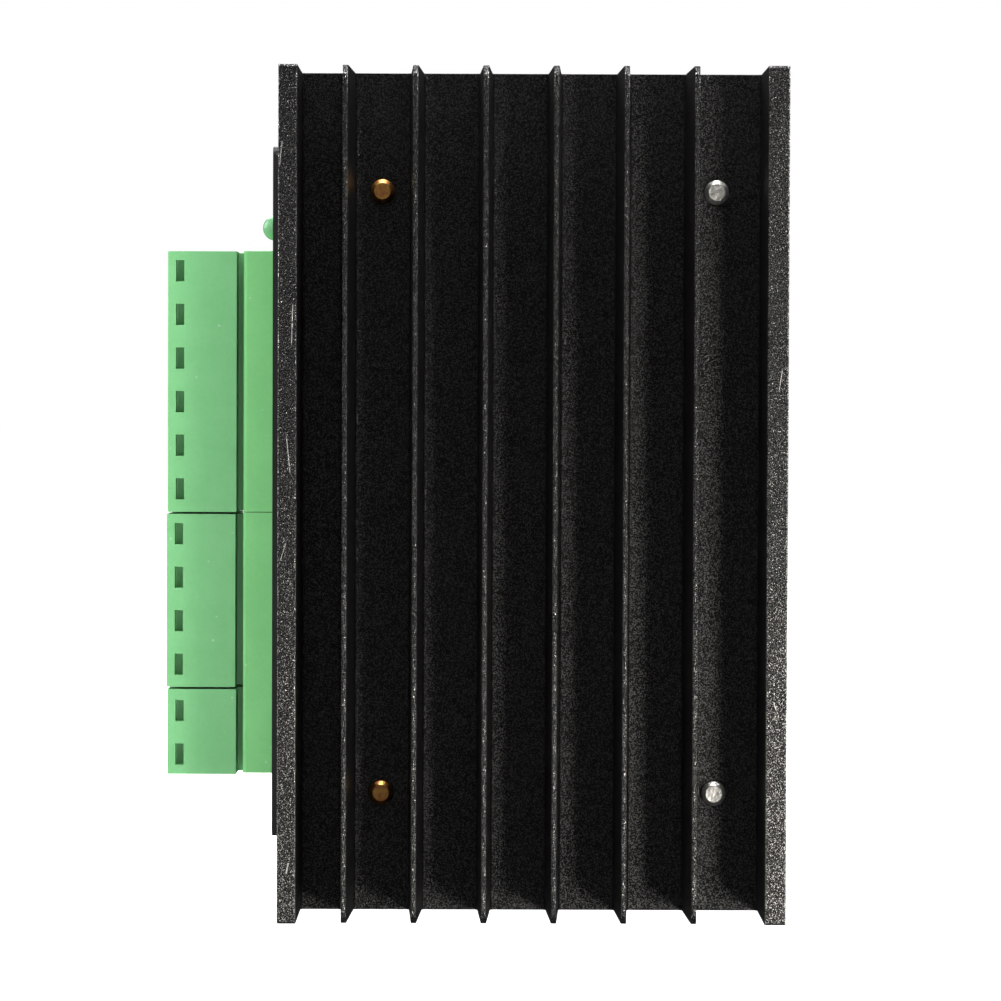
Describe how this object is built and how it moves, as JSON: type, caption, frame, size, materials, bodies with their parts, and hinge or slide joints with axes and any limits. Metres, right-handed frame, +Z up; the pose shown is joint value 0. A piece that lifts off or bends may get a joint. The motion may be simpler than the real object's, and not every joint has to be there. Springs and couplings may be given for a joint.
{
  "type": "stepper motor driver module",
  "caption": "Two-phase stepper motor driver: finned black heatsink, folded cover, pluggable green screw terminals, indicator lamp and setting switches.",
  "frame": {"origin": "middle of the heatsink's lower end, in the plane of the fin tips", "axes": "+Z up along the fins, -Y out of the finned back, +Y out of the cover's front, -X the way the terminals point"},
  "size_m": [0.0721, 0.0371, 0.096],
  "materials": {
    "black_extrusion": "bead-blasted black anodised extrusion",
    "black_sheet": "fine-textured black powder coat on sheet",
    "label_film": "printed polyester film",
    "black_screw": "black zinc",
    "board_laminate": "green solder mask on glass laminate",
    "brass_ring": "plain turned brass",
    "yellow_zinc": "yellow passivated zinc",
    "bright_zinc": "bright zinc",
    "gap_pad": "soft silicone",
    "black_mould": "matte moulding compound",
    "resistor_body": "matte coating",
    "can_aluminium": "bare can",
    "can_sleeve": "shrink sleeve",
    "lamp_lens": "tinted clear epoxy",
    "tinned_wire": "bright tin",
    "switch_red": "gloss moulding",
    "slider_white": "gloss moulding",
    "header_green": "satin nylon moulding",
    "plug_green": "satin nylon moulding",
    "tinned_contact": "tinned brass",
    "terminal_screw_zinc": "bright zinc",
    "cage_nickel": "nickel plated brass"
  },
  "bodies": {
    "frame": {"board_screws_silver": "bright_zinc", "board_screws_yellow": "yellow_zinc", "capacitor_cans": "can_aluminium", "capacitor_sleeves": "can_sleeve", "cover": "black_sheet", "cover_screws": "black_screw", "diode": "black_mould", "dip_switch_body": "switch_red", "dip_switch_pins": "tinned_wire", "driver_ic": "black_mould", "header_pins_power": "tinned_wire", "header_pins_signal": "tinned_wire", "header_power": "header_green", "header_signal": "header_green", "heatsink": "black_extrusion", "label_plate": "label_film", "led_leads": "tinned_wire", "optocouplers": "black_mould", "pcb": "board_laminate", "power_led": "lamp_lens", "regulator": "black_mould", "sense_resistors": "resistor_body", "standoffs": "brass_ring", "thermal_pad": "gap_pad"},
    "plug_supply_body": {"plug_supply": "plug_green", "contacts_supply": "tinned_contact"},
    "screw_01": {"terminal_screw_01": "terminal_screw_zinc"},
    "cage_01": {"clamp_cage_01": "cage_nickel"},
    "screw_02": {"terminal_screw_02": "terminal_screw_zinc"},
    "cage_02": {"clamp_cage_02": "cage_nickel"},
    "plug_motor_body": {"plug_motor": "plug_green", "contacts_motor": "tinned_contact"},
    "screw_03": {"terminal_screw_03": "terminal_screw_zinc"},
    "cage_03": {"clamp_cage_03": "cage_nickel"},
    "screw_04": {"terminal_screw_04": "terminal_screw_zinc"},
    "cage_04": {"clamp_cage_04": "cage_nickel"},
    "screw_05": {"terminal_screw_05": "terminal_screw_zinc"},
    "cage_05": {"clamp_cage_05": "cage_nickel"},
    "screw_06": {"terminal_screw_06": "terminal_screw_zinc"},
    "cage_06": {"clamp_cage_06": "cage_nickel"},
    "plug_signal_body": {"plug_signal": "plug_green", "contacts_signal": "tinned_contact"},
    "screw_07": {"terminal_screw_07": "terminal_screw_zinc"},
    "cage_07": {"clamp_cage_07": "cage_nickel"},
    "screw_08": {"terminal_screw_08": "terminal_screw_zinc"},
    "cage_08": {"clamp_cage_08": "cage_nickel"},
    "screw_09": {"terminal_screw_09": "terminal_screw_zinc"},
    "cage_09": {"clamp_cage_09": "cage_nickel"},
    "screw_10": {"terminal_screw_10": "terminal_screw_zinc"},
    "cage_10": {"clamp_cage_10": "cage_nickel"},
    "screw_11": {"terminal_screw_11": "terminal_screw_zinc"},
    "cage_11": {"clamp_cage_11": "cage_nickel"},
    "screw_12": {"terminal_screw_12": "terminal_screw_zinc"},
    "cage_12": {"clamp_cage_12": "cage_nickel"},
    "slider_1": {"dip_slider_1": "slider_white"},
    "slider_2": {"dip_slider_2": "slider_white"},
    "slider_3": {"dip_slider_3": "slider_white"},
    "slider_4": {"dip_slider_4": "slider_white"},
    "slider_5": {"dip_slider_5": "slider_white"},
    "slider_6": {"dip_slider_6": "slider_white"}
  },
  "joints": [
    {"name": "plug_supply_pull", "type": "slide", "parent": "frame", "child": "plug_supply_body", "axis": [-1, 0, 0], "range_m": [0, 0.012]},
    {"name": "screw_01_turn", "type": "hinge", "parent": "plug_supply_body", "child": "screw_01", "pos_m": [-0.0389, 0.0337, 0.01754], "axis": [0, -1, 0], "range_deg": [0, 1800]},
    {"name": "cage_01_rise", "type": "slide", "parent": "plug_supply_body", "child": "cage_01", "axis": [0, 1, 0], "range_m": [0, 0.0025]},
    {"name": "screw_02_turn", "type": "hinge", "parent": "plug_supply_body", "child": "screw_02", "pos_m": [-0.0389, 0.0337, 0.02262], "axis": [0, -1, 0], "range_deg": [0, 1800]},
    {"name": "cage_02_rise", "type": "slide", "parent": "plug_supply_body", "child": "cage_02", "axis": [0, 1, 0], "range_m": [0, 0.0025]},
    {"name": "plug_motor_pull", "type": "slide", "parent": "frame", "child": "plug_motor_body", "axis": [-1, 0, 0], "range_m": [0, 0.012]},
    {"name": "screw_03_turn", "type": "hinge", "parent": "plug_motor_body", "child": "screw_03", "pos_m": [-0.039, 0.0337, 0.0277], "axis": [0, -1, 0], "range_deg": [0, 1800]},
    {"name": "cage_03_rise", "type": "slide", "parent": "plug_motor_body", "child": "cage_03", "axis": [0, 1, 0], "range_m": [0, 0.0025]},
    {"name": "screw_04_turn", "type": "hinge", "parent": "plug_motor_body", "child": "screw_04", "pos_m": [-0.039, 0.0337, 0.03278], "axis": [0, -1, 0], "range_deg": [0, 1800]},
    {"name": "cage_04_rise", "type": "slide", "parent": "plug_motor_body", "child": "cage_04", "axis": [0, 1, 0], "range_m": [0, 0.0025]},
    {"name": "screw_05_turn", "type": "hinge", "parent": "plug_motor_body", "child": "screw_05", "pos_m": [-0.039, 0.0337, 0.03786], "axis": [0, -1, 0], "range_deg": [0, 1800]},
    {"name": "cage_05_rise", "type": "slide", "parent": "plug_motor_body", "child": "cage_05", "axis": [0, 1, 0], "range_m": [0, 0.0025]},
    {"name": "screw_06_turn", "type": "hinge", "parent": "plug_motor_body", "child": "screw_06", "pos_m": [-0.039, 0.0337, 0.04294], "axis": [0, -1, 0], "range_deg": [0, 1800]},
    {"name": "cage_06_rise", "type": "slide", "parent": "plug_motor_body", "child": "cage_06", "axis": [0, 1, 0], "range_m": [0, 0.0025]},
    {"name": "plug_signal_pull", "type": "slide", "parent": "frame", "child": "plug_signal_body", "axis": [-1, 0, 0], "range_m": [0, 0.012]},
    {"name": "screw_07_turn", "type": "hinge", "parent": "plug_signal_body", "child": "screw_07", "pos_m": [-0.0389, 0.0337, 0.04802], "axis": [0, -1, 0], "range_deg": [0, 1800]},
    {"name": "cage_07_rise", "type": "slide", "parent": "plug_signal_body", "child": "cage_07", "axis": [0, 1, 0], "range_m": [0, 0.0025]},
    {"name": "screw_08_turn", "type": "hinge", "parent": "plug_signal_body", "child": "screw_08", "pos_m": [-0.0389, 0.0337, 0.0531], "axis": [0, -1, 0], "range_deg": [0, 1800]},
    {"name": "cage_08_rise", "type": "slide", "parent": "plug_signal_body", "child": "cage_08", "axis": [0, 1, 0], "range_m": [0, 0.0025]},
    {"name": "screw_09_turn", "type": "hinge", "parent": "plug_signal_body", "child": "screw_09", "pos_m": [-0.0389, 0.0337, 0.05818], "axis": [0, -1, 0], "range_deg": [0, 1800]},
    {"name": "cage_09_rise", "type": "slide", "parent": "plug_signal_body", "child": "cage_09", "axis": [0, 1, 0], "range_m": [0, 0.0025]},
    {"name": "screw_10_turn", "type": "hinge", "parent": "plug_signal_body", "child": "screw_10", "pos_m": [-0.0389, 0.0337, 0.06326], "axis": [0, -1, 0], "range_deg": [0, 1800]},
    {"name": "cage_10_rise", "type": "slide", "parent": "plug_signal_body", "child": "cage_10", "axis": [0, 1, 0], "range_m": [0, 0.0025]},
    {"name": "screw_11_turn", "type": "hinge", "parent": "plug_signal_body", "child": "screw_11", "pos_m": [-0.0389, 0.0337, 0.06834], "axis": [0, -1, 0], "range_deg": [0, 1800]},
    {"name": "cage_11_rise", "type": "slide", "parent": "plug_signal_body", "child": "cage_11", "axis": [0, 1, 0], "range_m": [0, 0.0025]},
    {"name": "screw_12_turn", "type": "hinge", "parent": "plug_signal_body", "child": "screw_12", "pos_m": [-0.0389, 0.0337, 0.07342], "axis": [0, -1, 0], "range_deg": [0, 1800]},
    {"name": "cage_12_rise", "type": "slide", "parent": "plug_signal_body", "child": "cage_12", "axis": [0, 1, 0], "range_m": [0, 0.0025]},
    {"name": "slider_1_set", "type": "slide", "parent": "frame", "child": "slider_1", "axis": [0, 1, 0], "range_m": [0, 0.0018]},
    {"name": "slider_2_set", "type": "slide", "parent": "frame", "child": "slider_2", "axis": [0, 1, 0], "range_m": [0, 0.0018]},
    {"name": "slider_3_set", "type": "slide", "parent": "frame", "child": "slider_3", "axis": [0, 1, 0], "range_m": [0, 0.0018]},
    {"name": "slider_4_set", "type": "slide", "parent": "frame", "child": "slider_4", "axis": [0, 1, 0], "range_m": [0, 0.0018]},
    {"name": "slider_5_set", "type": "slide", "parent": "frame", "child": "slider_5", "axis": [0, 1, 0], "range_m": [0, 0.0018]},
    {"name": "slider_6_set", "type": "slide", "parent": "frame", "child": "slider_6", "axis": [0, 1, 0], "range_m": [0, 0.0018]}
  ],
  "couplings": [
    {"joint": "cage_01_rise", "follows": "screw_01_turn", "m_per_rad": 0.00007957},
    {"joint": "cage_02_rise", "follows": "screw_02_turn", "m_per_rad": 0.00007957},
    {"joint": "cage_03_rise", "follows": "screw_03_turn", "m_per_rad": 0.00007957},
    {"joint": "cage_04_rise", "follows": "screw_04_turn", "m_per_rad": 0.00007957},
    {"joint": "cage_05_rise", "follows": "screw_05_turn", "m_per_rad": 0.00007957},
    {"joint": "cage_06_rise", "follows": "screw_06_turn", "m_per_rad": 0.00007957},
    {"joint": "cage_07_rise", "follows": "screw_07_turn", "m_per_rad": 0.00007957},
    {"joint": "cage_08_rise", "follows": "screw_08_turn", "m_per_rad": 0.00007957},
    {"joint": "cage_09_rise", "follows": "screw_09_turn", "m_per_rad": 0.00007957},
    {"joint": "cage_10_rise", "follows": "screw_10_turn", "m_per_rad": 0.00007957},
    {"joint": "cage_11_rise", "follows": "screw_11_turn", "m_per_rad": 0.00007957},
    {"joint": "cage_12_rise", "follows": "screw_12_turn", "m_per_rad": 0.00007957}
  ]
}
